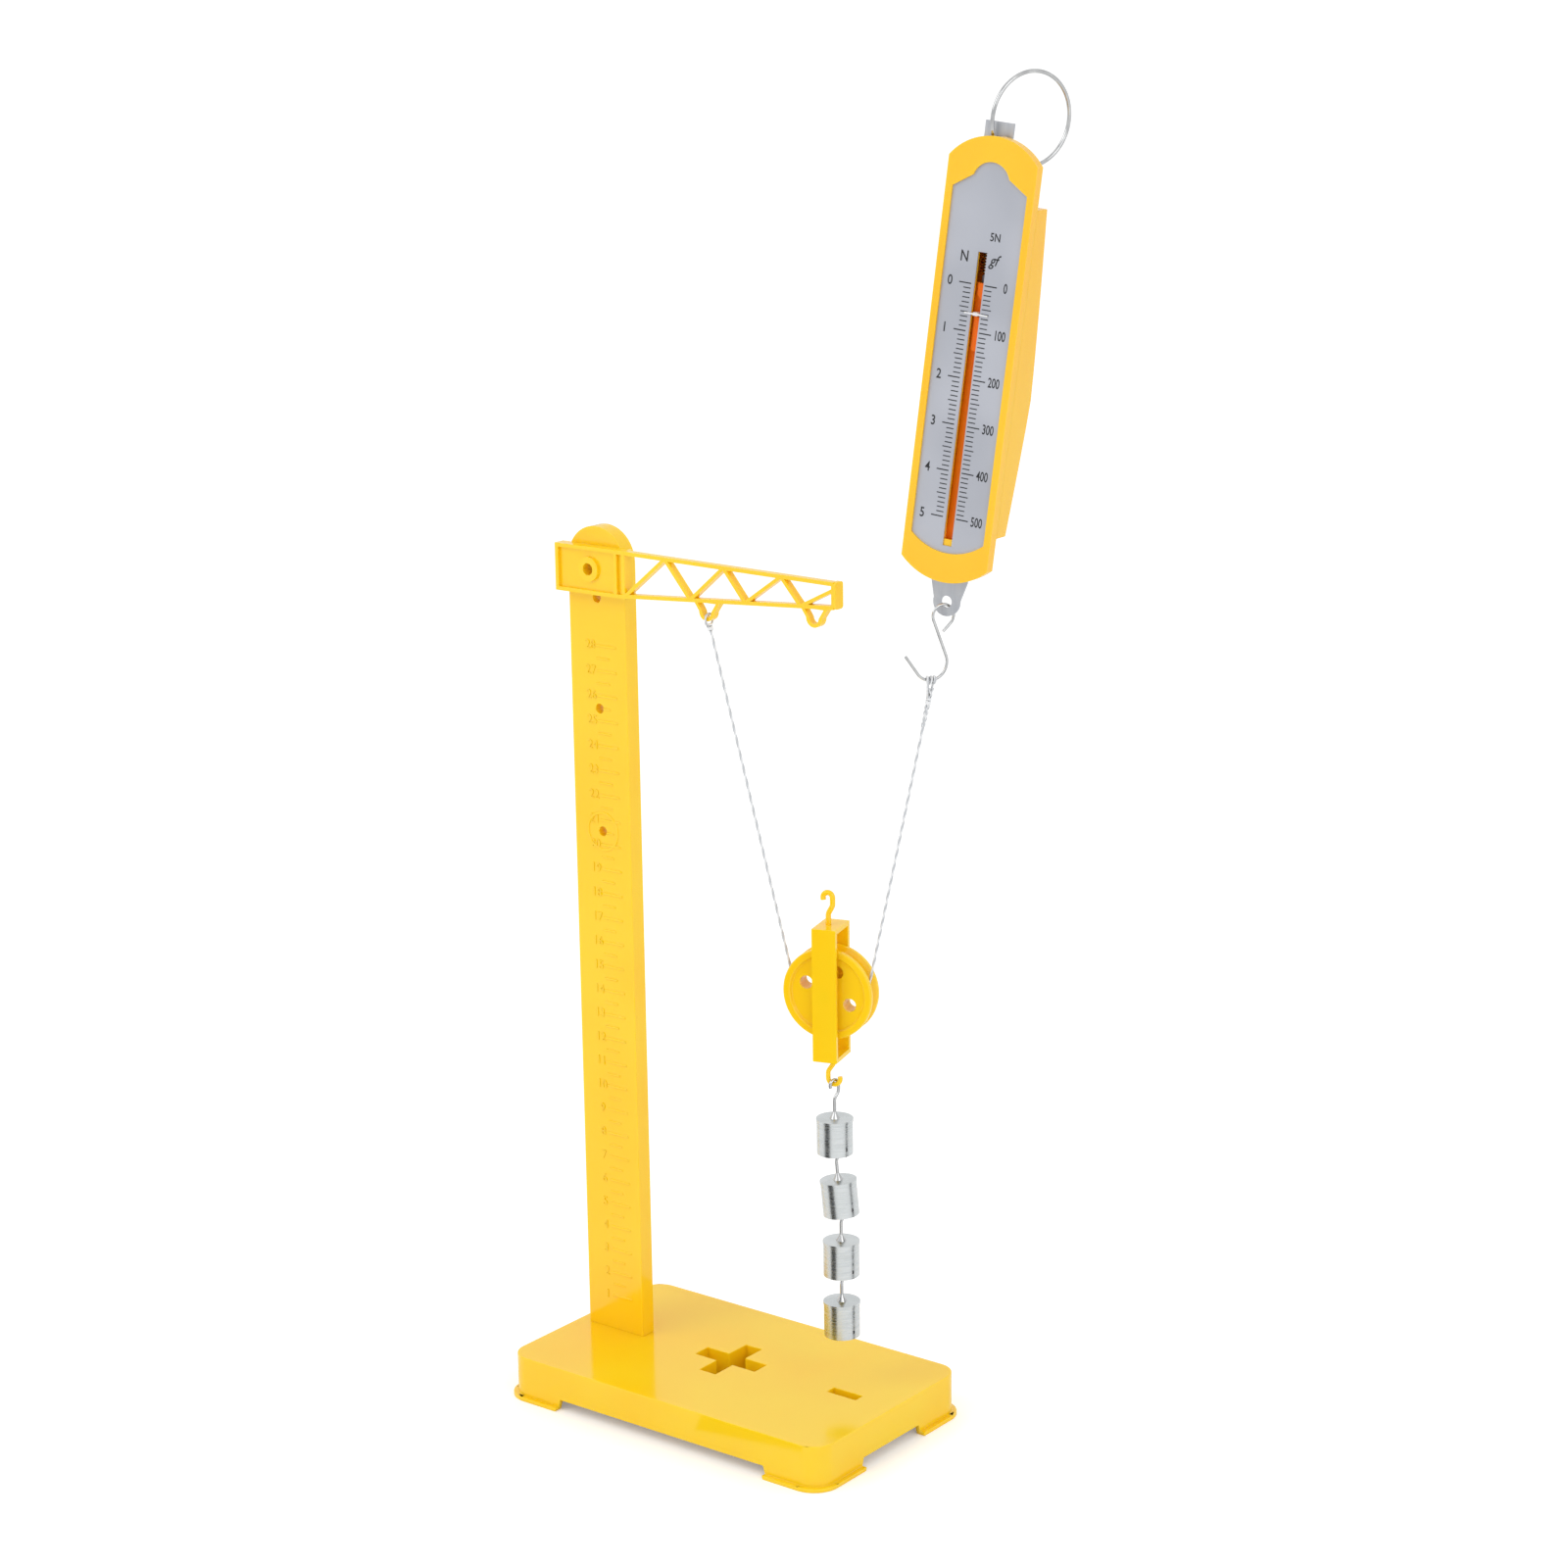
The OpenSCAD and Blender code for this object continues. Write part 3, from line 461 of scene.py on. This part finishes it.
def closed_ring(bm, centre, axis, ring_r, slant):
    profile = bmesh.ops.create_circle(bm, segments=8, radius=KNOT_STRAND_R)["verts"]
    bmesh.ops.rotate(bm, cent=(0, 0, 0), matrix=ON_EDGE, verts=profile)
    bmesh.ops.translate(bm, vec=(ring_r, 0, 0), verts=profile)
    edges = list({edge for vert in profile for edge in vert.link_edges})
    bmesh.ops.spin(bm, geom=profile + edges, cent=(0, 0, 0), axis=(0, 0, 1),
                   angle=math.tau, steps=20, use_merge=True)
    linked = set(profile)
    fresh = list(profile)
    while fresh:
        near = {edge.other_vert(vert) for vert in fresh for edge in vert.link_edges}
        fresh = list(near - linked)
        linked |= near
    tilt = Matrix.Rotation(slant, 4, "X")
    to_axis = UP.rotation_difference(axis).to_matrix().to_4x4()
    place = Matrix.Translation(centre) @ to_axis @ tilt
    bmesh.ops.transform(bm, matrix=place, verts=list(linked))


def tied_knot(bm, centre, axis, ring_r):
    for i in range(KNOT_TURNS):
        along = (i - (KNOT_TURNS - 1) / 2) * KNOT_PITCH
        closed_ring(bm, centre + along * axis, axis, ring_r, (-1) ** i * KNOT_SLANT)


# %% Tie the string to the jib's eye
bm = bmesh.new()
eye_bar = EYE - 0.7 * MM * UP
over_the_bar = [eye_bar + Vector((0, y, z)) * MM for y, z in (
    (0.65, -2.9), (1.9, -1.5), (2.35, 0), (1.9, 1.5), (0, 2.0),
    (-1.9, 1.5), (-2.35, 0), (-1.9, -1.5), (-0.65, -2.9))]
twisted(bm, over_the_bar, STRING_R, Vector((1, 0, 0)))
tied_knot(bm, tie_top + 1.3 * MM * left_down, left_down, 0.75 * MM)
eye_knot = make_piece("knot_at_the_eye", bm, cotton_string)
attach(eye_knot, "stand")
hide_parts("string_tie")
print("knot:", eye_knot.name)

# %% Tie the string to the steel hook
WIRE_TURN = math.radians(60)
WIRE_WRAP_R = 1.27 * MM
WIRE_WRAPS = 2.5
WRAP_WIDTH = 3.6
STRAND_TURNS = 3.2
STRAND_GAP = 0.62 * MM
PARTS = 60

wire_along = Vector((math.cos(WIRE_TURN), math.sin(WIRE_TURN), 0))
wire_side = Vector((-math.sin(WIRE_TURN), math.cos(WIRE_TURN), 0))
gather = hook_top + 5 * MM * right_down
bm = bmesh.new()
loop = [gather - 0.4 * MM * wire_along]
for i in range(PARTS + 1):
    part = i / PARTS
    angle = math.pi - WIRE_WRAPS * math.tau * part
    turn_at = HOOK + (WRAP_WIDTH * part - WRAP_WIDTH / 2) * MM * wire_along
    reach = math.cos(angle) * wire_side + math.sin(angle) * UP
    loop.append(turn_at + WIRE_WRAP_R * reach)
loop.append(gather + 0.4 * MM * wire_along)
twisted(bm, loop, STRING_R, wire_along)
tied_knot(bm, gather, right_down, 0.7 * MM)
for turn_start in (0, math.pi):
    strand = []
    for i in range(PARTS + 1):
        part = i / PARTS
        angle = turn_start + STRAND_TURNS * math.tau * part
        offset = STRAND_GAP * (1 - 0.45 * part)
        swing = offset * (math.cos(angle) * ALONG + math.sin(angle) * ACROSS)
        strand.append(hook_top + DOUBLED * part * right_down + swing)
    twisted(bm, strand, STRING_R * (0.95 if turn_start else 1.0), ACROSS)
hook_knot = make_piece("loop_at_the_hook", bm, cotton_string)
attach(hook_knot, "string_end")
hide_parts("string_loop")
print("loop:", hook_knot.name)

# %% [markdown]
# ## Rounded copies of the plastic pieces
# A mould has no razor edges: every corner of the real plastic carries a radius of a few tenths
# of a millimetre, and it is that radius which catches the light. The CAD solids are sharp, so
# each plastic piece is shown as a copy. Its loose triangles are merged into one skin first, so
# that the sharp edges can be found: those where the surface turns by more than 35 degrees. The
# short facets round a thin wire or a small hole have no room for a radius and stay sharp.
# Weighted normals then let the large faces shade as flat as they are, or the glossy deck would
# mirror the column with a bend. The jib's thin bars and the narrow rim of the balance's front
# have no room for a radius either. The copy replaces the CAD node, which stays, hidden.

# %% Define a rounded copy
SHARP_TURN = math.radians(35)
SHORTEST = 0.6 * MM
WELD = 0.002 * MM


def body_name(node):
    bodies = frame["record"]["behaviour"]["bodies"]
    return next(body for body, nodes in bodies.items() if node in nodes)


def rounded(node, material, width_mm):
    bm = bmesh.new()
    bm.from_mesh(frame["nodes"][node].data)
    bmesh.ops.remove_doubles(bm, verts=bm.verts, dist=WELD)
    share = bm.edges.layers.float.new("bevel_weight_edge")
    for edge in bm.edges:
        turned = edge.is_manifold and edge.calc_face_angle() > SHARP_TURN
        edge.smooth = not turned
        if turned and width_mm > 0 and edge.calc_length() > SHORTEST:
            edge[share] = 1.0
            edge.smooth = True
    piece = make_piece(f"{node}_rounded", bm, material)
    if width_mm > 0:
        bevel = piece.modifiers.new("edge radius", "BEVEL")
        bevel.width = width_mm * MM
        bevel.segments = 2
        bevel.limit_method = "WEIGHT"
        bevel.use_clamp_overlap = False
    flat = piece.modifiers.new("flat faces", "WEIGHTED_NORMAL")
    flat.mode = "FACE_AREA"
    flat.weight = 50
    flat.keep_sharp = True
    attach(piece, body_name(node))
    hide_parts(node)


# %% Round the plastic pieces
stand_radii = {"base": 0.3, "column": 0.15, "jib": 0, "sheave": 0.2, "pulley_yoke": 0.15}
case_radii = {"case_front": 0, "case_back": 0.3}
for radii, material in ((stand_radii, yellow_plastic), (case_radii, case_plastic)):
    for node, radius in radii.items():
        rounded(node, material, radius)
print("rounded:", ", ".join([*stand_radii, *case_radii]))

# %% [markdown]
# ## The other CAD pieces
# The metal pieces, the carrier, the pointer and the plate keep their CAD shapes and only get
# their finish. It goes into the slots that the imported mesh already has.

# %% Dress the CAD pieces
def dress(node, material):
    piece = frame["nodes"][node]
    if not piece.material_slots:
        piece.data.materials.append(material)
    for place in piece.material_slots:
        place.material = material


finishes = {
    nickel: ["s_hook", "hanging_ring", "pulley_axle", "case_screws"],
    strip: ["drawbar", "top_tab"],
    orange_plastic: ["pointer_carrier"],
    white_plastic: ["pointer"],
    plate_paint: ["scale_plate"],
}
for number in range(1, 5):
    finishes[nickel] += [f"weight_hook_{number}", f"weight_pin_{number}"]
    finishes.setdefault(zinc, []).append(f"weight_{number}")
for material, nodes in finishes.items():
    for node in nodes:
        dress(node, material)
print("dressed:", sum(len(nodes) for nodes in finishes.values()), "CAD pieces")

# %% [markdown]
# ## The spring in the balance
# The spring hangs between the steel tab at the top and the orange carrier, and the reading
# stretches it. A coil is wound here in its place, from the carrier at its lower end to the case
# at its upper end. Spinning a small circle round the axis while it also climbs makes the coil.
# It is placed in the balance's own frame, where z runs up the case, and one matrix takes it to
# the tilted balance.

# %% Wind the spring
BALANCE_AT = Vector((87.9504, 23.9357, 332.1)) * MM
tilts = [Matrix.Rotation(math.radians(angle), 4, axis)
         for angle, axis in ((8.2, "Z"), (6.6, "Y"), (-2.4, "X"))]
BALANCE = Matrix.Translation(BALANCE_AT) @ tilts[0] @ tilts[1] @ tilts[2]
SPRING_LOW = Vector((0, 0.9, 120.6)) * MM
SPRING_HIGH = Vector((0, 0.9, 135.4)) * MM
COIL_R = 3.2 * MM
SPRING_WIRE_R = 0.25 * MM
COIL_TURNS = 14
STEPS_A_TURN = 24

bm = bmesh.new()
wire = bmesh.ops.create_circle(bm, cap_ends=True, segments=8, radius=SPRING_WIRE_R)
section = wire["verts"]
bmesh.ops.rotate(bm, cent=(0, 0, 0), matrix=ON_EDGE, verts=section)
bmesh.ops.translate(bm, vec=SPRING_LOW + Vector((COIL_R, 0, 0)), verts=section)
coil_steps = COIL_TURNS * STEPS_A_TURN
bmesh.ops.spin(bm, geom=bm.faces[:], cent=SPRING_LOW, axis=UP, angle=math.tau * COIL_TURNS,
               steps=coil_steps, dvec=(SPRING_HIGH - SPRING_LOW) / coil_steps)
bmesh.ops.transform(bm, matrix=BALANCE, verts=bm.verts)
spring_coil = make_piece("spring_coil", bm, nickel)
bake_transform(spring_coil)
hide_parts("spring")
print("spring:", COIL_TURNS, "turns of", round(2 * COIL_R / MM, 1), "mm")

# %% [markdown]
# ## Numbers on the column
# The ruler's numbers are cut into the mould, so they stand out of the column by a third of a
# millimetre, in the same yellow. Text becomes a mesh first and is then put in its place,
# because a mesh keeps its shape wherever the file is opened.

# %% Define raised text
CAPITAL_HEIGHT = 0.7
UPRIGHT = Matrix.Rotation(math.pi / 2, 4, "X")


def text_mesh(words, height_mm, depth_mm, shear=0.0, narrow=1.0, bolder_mm=0.0):
    curve = bpy.data.curves.new(words, "FONT")
    curve.body = words
    curve.size = height_mm * MM / CAPITAL_HEIGHT
    curve.extrude = depth_mm * MM / 2
    curve.offset = bolder_mm * MM
    curve.shear = shear
    curve.align_x = "CENTER"
    curve.align_y = "CENTER"
    curve.resolution_u = 3
    holder = bpy.data.objects.new(words, curve)
    bpy.context.scene.collection.objects.link(holder)
    bpy.context.view_layer.update()
    mesh = bpy.data.meshes.new_from_object(holder)
    bpy.data.objects.remove(holder)
    mesh.transform(Matrix.Diagonal((narrow, 1, 1, 1)))
    return mesh


# %% Mould the ruler's numbers
CENTIMETRES = 28
NUMBER_X = -62.3 * MM
NUMBER_Y = -2.5 * MM - 0.05 * MM
FIRST_NUMBER_Z = 32.6

bm = bmesh.new()
for k in range(CENTIMETRES):
    mesh = text_mesh(str(k + 1), 3.6, 0.5)
    at = Vector((NUMBER_X, NUMBER_Y, (FIRST_NUMBER_Z + 10 * k) * MM))
    mesh.transform(Matrix.Translation(at) @ UPRIGHT)
    bm.from_mesh(mesh)
ruler_numbers = make_piece("ruler_numbers", bm, yellow_plastic, smooth=False)
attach(ruler_numbers, "stand")
print("ruler numbers:", CENTIMETRES)

# %% [markdown]
# ## The printed scale
# The balance reads newtons on the left and grams-force on the right, from 0 at the top. A tick
# every tenth of a newton is 1.7 mm from the next. The ink is 0.03 mm thick, and each tick is
# a box of that depth set on the plate. Everything is drawn in the balance's own frame, where z
# runs up the case, and the same matrix as for the spring takes it to the tilted balance.

# %% Define a printed bar and a printed word
PLATE_Y = -5.8
INK = 0.03
INK_Y = PLATE_Y - 0.015
CENTRE_X = -0.35


def ink_bar(bm, x0, x1, z, thick):
    bar = bmesh.ops.create_cube(bm, size=1)["verts"]
    size = Matrix.Diagonal(((x1 - x0) * MM, INK * MM, thick * MM, 1))
    middle = Vector(((x0 + x1) / 2, INK_Y, z)) * MM
    bmesh.ops.transform(bm, matrix=BALANCE @ Matrix.Translation(middle) @ size, verts=bar)


def ink_text(bm, mesh, x, z):
    at = Vector(((CENTRE_X + x) * MM, INK_Y * MM, z * MM))
    mesh.transform(BALANCE @ Matrix.Translation(at) @ UPRIGHT)
    bm.from_mesh(mesh)


# %% Print the scale
ZERO_Z = 117.0
NEWTON = 17.0
TICK_STARTS = 2.7
TENTHS = 50
WHOLE, HALF, TENTH = (7.5, 0.44), (6.3, 0.38), (5.6, 0.38)

bm = bmesh.new()
for tenth in range(TENTHS + 1):
    reach, thick = {0: WHOLE, 5: HALF}.get(tenth % 10, TENTH)
    z = ZERO_Z - NEWTON * tenth / 10
    for sign in (-1, 1):
        inner, outer = CENTRE_X + sign * TICK_STARTS, CENTRE_X + sign * reach
        ink_bar(bm, min(inner, outer), max(inner, outer), z, thick)
for newtons in range(TENTHS // 10 + 1):
    z = ZERO_Z - NEWTON * newtons
    for words, x, narrow in ((str(newtons), -11.2, 0.8), (str(100 * newtons), 10.9, 0.62)):
        ink_text(bm, text_mesh(words, 3.5, INK, narrow=narrow, bolder_mm=0.07), x, z)
for words, x, z, height, shear, narrow in (
    ("N", -6.6, 126.2, 3.9, 0.0, 0.8),
    ("gf", 4.9, 126.2, 3.9, 0.4, 0.8),
    ("5N", 4.6, 134.3, 2.9, 0.0, 0.8),
):
    ink_text(bm, text_mesh(words, height, INK, shear, narrow, 0.06), x, z)
scale_print = make_piece("scale_print", bm, ink, smooth=False)
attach(scale_print, "case")
print("scale:", len(scale_print.data.polygons), "faces of ink")

# %% [markdown]
# ## The studio
# The photograph is a product shot: white all round, with soft light that leaves almost no
# shadow. A pale floor and an even white world do most of it. A large soft lamp from the upper
# left gives the plastic its highlights, and a weaker one opens the shadows on the right. The
# world lights at 0.88 so that a material renders about as its colour is written, and only the
# camera sees it as full white.

# %% Light the scene
scene = bpy.context.scene
world = bpy.data.worlds.new("studio")
world.use_nodes = True
scene.world = world
tree = world.node_tree
tree.nodes.clear()
seen = add(tree, "ShaderNodeLightPath")
white = colour("#FFFFFF")
ambient = add(tree, "ShaderNodeBackground", {"Color": white, "Strength": 0.88})
plain = add(tree, "ShaderNodeBackground", {"Color": white, "Strength": 1.0})
mix = add(tree, "ShaderNodeMixShader",
          {0: seen.outputs["Is Camera Ray"], 1: ambient.outputs[0], 2: plain.outputs[0]})
add(tree, "ShaderNodeOutputWorld", {"Surface": mix.outputs[0]})
print("world:", world.name)

# %% Hang the lamps
LAMPS_AIM_AT = Vector((0, 0, 0.25))


def soft_lamp(name, at, size, power):
    light = bpy.data.lights.new(name, "AREA")
    light.shape = "DISK"
    light.size = size
    light.energy = power
    lamp = bpy.data.objects.new(name, light)
    lamp.location = at
    aim = (LAMPS_AIM_AT - Vector(at)).to_track_quat("-Z", "Y")
    lamp.rotation_euler = aim.to_euler()
    scene.collection.objects.link(lamp)


soft_lamp("key", (-0.9, -1.7, 1.8), size=1.6, power=10)
soft_lamp("fill", (2.0, -0.7, 1.2), size=1.4, power=6)

# %% [markdown]
# ## Dark cards
# A white room alone makes round metal look like chalk. A photographer stands narrow black
# cards beside the set, and each draws a dark streak down a polished cylinder. Two cards do
# that here, 50 degrees to the left of the camera's direction and 78 degrees to its right. The
# camera looks down, so the weights mirror what is low and near: the cards stand close, and
# each has a foot that lies on the floor and narrows towards the set. Only mirror rays see
# them, so they throw no shadow.

# %% Stand the dark cards
CARD_HEIGHT = 0.22
CARD_AWAY = 0.26
CARD_MIDDLE = 0.1105
FOOT_NARROWS = 0.3

card_paper, tree = new_material("matt black card")
finish_with(tree, add(tree, "ShaderNodeBsdfDiffuse", {"Color": colour("#343638")}))
for name, turn_from_camera, width in (("left_card", -50, 0.17), ("right_card", 78, 0.06)):
    bm = bmesh.new()
    bmesh.ops.create_grid(bm, x_segments=1, y_segments=1, size=0.5)
    bmesh.ops.scale(bm, vec=(width, CARD_HEIGHT, 1), verts=bm.verts)
    bmesh.ops.rotate(bm, cent=(0, 0, 0), matrix=ON_EDGE, verts=bm.verts)
    bmesh.ops.translate(bm, vec=(0, -CARD_AWAY, CARD_MIDDLE), verts=bm.verts)
    foot = [edge for edge in bm.edges if all(vert.co.z < 0.001 for vert in edge.verts)]
    lying = bmesh.ops.extrude_edge_only(bm, edges=foot)["geom"]
    inner = [part for part in lying if isinstance(part, bmesh.types.BMVert)]
    bmesh.ops.scale(bm, vec=(FOOT_NARROWS, FOOT_NARROWS, 1), verts=inner)
    around = Matrix.Rotation(AZIMUTH + math.radians(turn_from_camera), 3, "Z")
    bmesh.ops.rotate(bm, cent=(0, 0, 0), matrix=around, verts=bm.verts)
    bmesh.ops.translate(bm, vec=(SHEAVE.x, SHEAVE.y, 0), verts=bm.verts)
    card = make_piece(name, bm, card_paper, smooth=False)
    card.visible_camera = False
    card.visible_diffuse = False
    card.visible_shadow = False
    print("card:", card.name)

# %% [markdown]
# ## The floor
# The floor is matt white, and a little glow that only the camera sees lifts it to the white
# of the backdrop. It keeps the soft contact shadow that ties the base to the ground. It is far
# larger than the view, so no edge or horizon shows.

# %% Lay the floor
bm = bmesh.new()
bmesh.ops.create_grid(bm, x_segments=1, y_segments=1, size=40)
floor_paper, tree = new_material("matt white studio paper")
paper = add(tree, "ShaderNodeBsdfPrincipled",
            {"Base Color": colour("#FBFBFB"), "Roughness": 0.9, "Specular IOR Level": 0.1})
seen = add(tree, "ShaderNodeLightPath")
glow = add(tree, "ShaderNodeMath", {0: seen.outputs["Is Camera Ray"], 1: 0.22},
           operation="MULTIPLY")
lift = add(tree, "ShaderNodeEmission", {"Strength": glow.outputs[0]})
finish_with(tree, add(tree, "ShaderNodeAddShader", {0: paper.outputs[0], 1: lift.outputs[0]}))
floor = make_piece("floor", bm, floor_paper, smooth=False)
print("floor:", floor.name)
